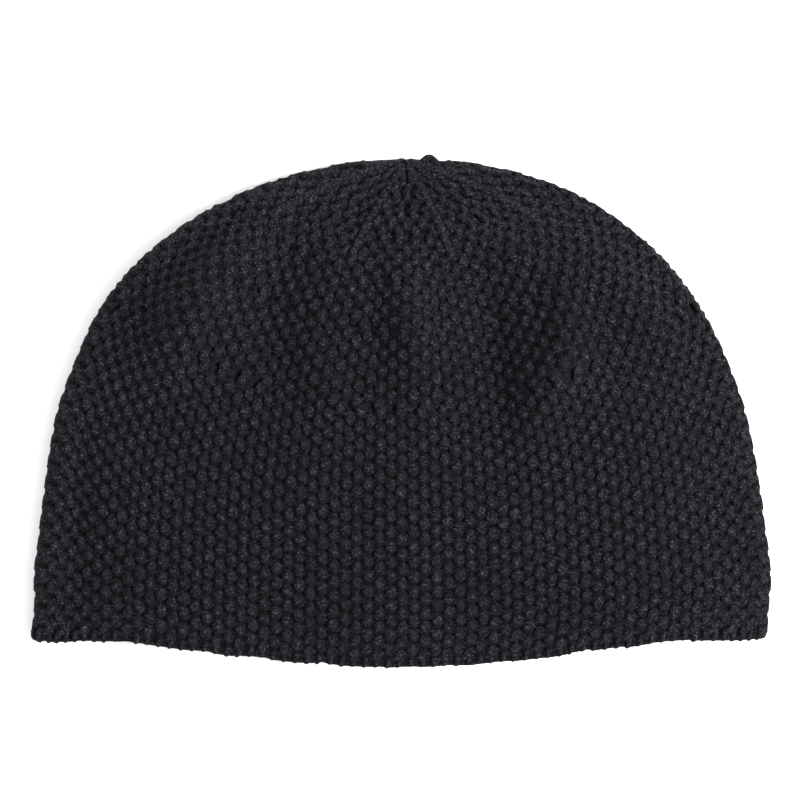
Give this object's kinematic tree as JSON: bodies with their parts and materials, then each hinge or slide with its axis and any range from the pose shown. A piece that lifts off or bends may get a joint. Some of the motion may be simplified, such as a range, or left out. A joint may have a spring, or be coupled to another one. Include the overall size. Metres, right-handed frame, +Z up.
{
  "type": "kufi",
  "caption": "Black hand-knitted kufi in seed stitch with a plain edge and a gathered crown, lying flat with its mouth open.",
  "frame": {"origin": "bottom centre of the bounding box of the cap as it lies", "axes": "+X across the cap between its two side folds, +Y from the open mouth to the gathered crown, +Z up from the surface it lies on, out of its front"},
  "size_m": [0.2404, 0.1667, 0.0216],
  "materials": {
    "black_knit": "matt seed stitch knitting in soft spun yarn",
    "black_yarn": "matt soft spun yarn"
  },
  "bodies": {
    "root": {"knit_shell": "black_knit", "closing_knot": "black_yarn"}
  },
  "joints": []
}
